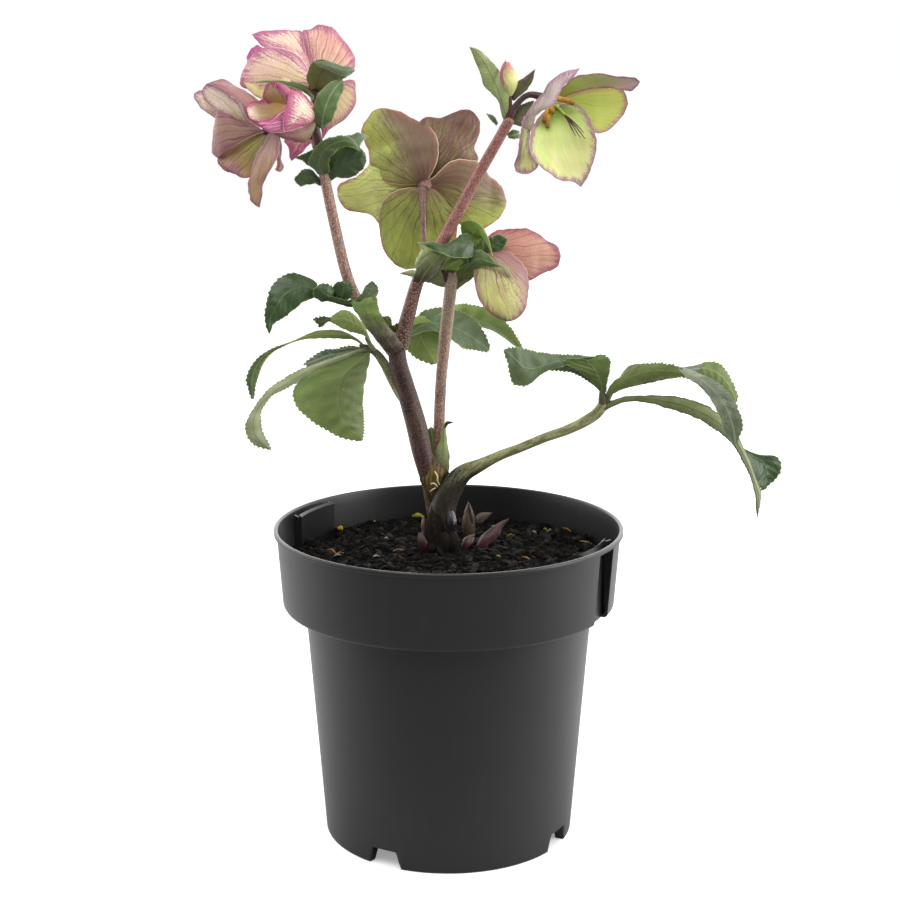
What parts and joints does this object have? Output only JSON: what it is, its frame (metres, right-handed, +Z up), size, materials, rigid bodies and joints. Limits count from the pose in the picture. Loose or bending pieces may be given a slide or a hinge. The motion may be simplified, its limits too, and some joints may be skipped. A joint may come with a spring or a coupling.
{
  "type": "hellebore plant in a nursery pot",
  "caption": "Flowering hellebore with nodding cup flowers, serrated leaves and bracts on upright stems, growing in a round tapered plastic nursery pot with a deep collar.",
  "frame": {"origin": "on the surface the pot stands on, under the middle of the whole plant's spread", "axes": "+Z up, the plant's longest extent; -Y is the front; +X is to the viewer's right"},
  "size_m": [0.3068, 0.19, 0.4373],
  "materials": {
    "pot": "satin injection-moulded polypropylene, charcoal",
    "soil": "damp dark peat and bark crumbs",
    "crown": "rough woody crown",
    "dark_stem": "satin stem, maroon-brown with pale specks",
    "pink_stem": "satin stem, pinkish-brown, finely speckled",
    "green_stem": "satin stem, olive mottled with brown",
    "leaf": "leathery leaf, dark green above and paler beneath",
    "bract": "soft satin leaf, mid green with brown-red edges",
    "sheath": "papery sheath, olive-brown",
    "shoot": "smooth young shoot, wine red",
    "rose_sepal": "satin sepal, cream flushed with rose and veined purple",
    "mauve_sepal": "satin sepal, mauve-brown over green",
    "green_sepal": "satin sepal, yellow-green with dark radiating veins",
    "lime_sepal": "satin sepal, lime-cream with purple margins",
    "stamens": "orange-gold nectaries with dark styles"
  },
  "bodies": {
    "root": {"nursery_pot": "pot", "potting_soil": "soil", "crown": "crown", "main_stem": "dark_stem", "second_stem": "pink_stem", "right_branch": "pink_stem", "left_branch": "dark_stem", "basal_leaf_petiole": "green_stem", "stem_leaf_petiole": "green_stem", "new_shoots": "shoot", "brown_sheath": "sheath", "green_sheath": "bract", "open_flower_stamens": "stamens", "top_flower_sepal_1": "rose_sepal", "top_flower_sepal_2": "rose_sepal", "top_flower_sepal_3": "rose_sepal", "top_flower_sepal_4": "rose_sepal", "top_flower_sepal_5": "rose_sepal", "cup_flower_sepal_1": "rose_sepal", "cup_flower_sepal_2": "rose_sepal", "cup_flower_sepal_3": "rose_sepal", "cup_flower_sepal_4": "rose_sepal", "cup_flower_sepal_5": "rose_sepal", "side_flower_sepal_1": "mauve_sepal", "side_flower_sepal_2": "mauve_sepal", "side_flower_sepal_3": "mauve_sepal", "side_flower_sepal_4": "mauve_sepal", "side_flower_sepal_5": "mauve_sepal", "back_flower_sepal_1": "green_sepal", "back_flower_sepal_2": "green_sepal", "back_flower_sepal_3": "green_sepal", "back_flower_sepal_4": "green_sepal", "back_flower_sepal_5": "green_sepal", "low_flower_sepal_1": "mauve_sepal", "low_flower_sepal_2": "mauve_sepal", "low_flower_sepal_3": "mauve_sepal", "open_flower_sepal_1": "lime_sepal", "open_flower_sepal_2": "lime_sepal", "open_flower_sepal_3": "lime_sepal", "open_flower_sepal_4": "lime_sepal", "open_flower_sepal_5": "lime_sepal", "flower_bud": "lime_sepal", "basal_leaflet_1": "leaf", "basal_leaflet_2": "leaf", "basal_leaflet_3": "leaf", "basal_leaflet_4": "leaf", "fork_bract": "bract", "stem_leaflet_1": "leaf", "stem_leaflet_2": "leaf", "stem_leaflet_3": "leaf", "stem_leaflet_4": "leaf", "stem_leaflet_5": "leaf", "rear_leaf": "leaf", "left_bracts": "bract", "hood_bract": "bract", "oval_bract": "bract", "middle_bracts": "bract", "second_bracts": "bract", "tall_bract": "bract", "tip_bracts": "bract"}
  },
  "joints": []
}
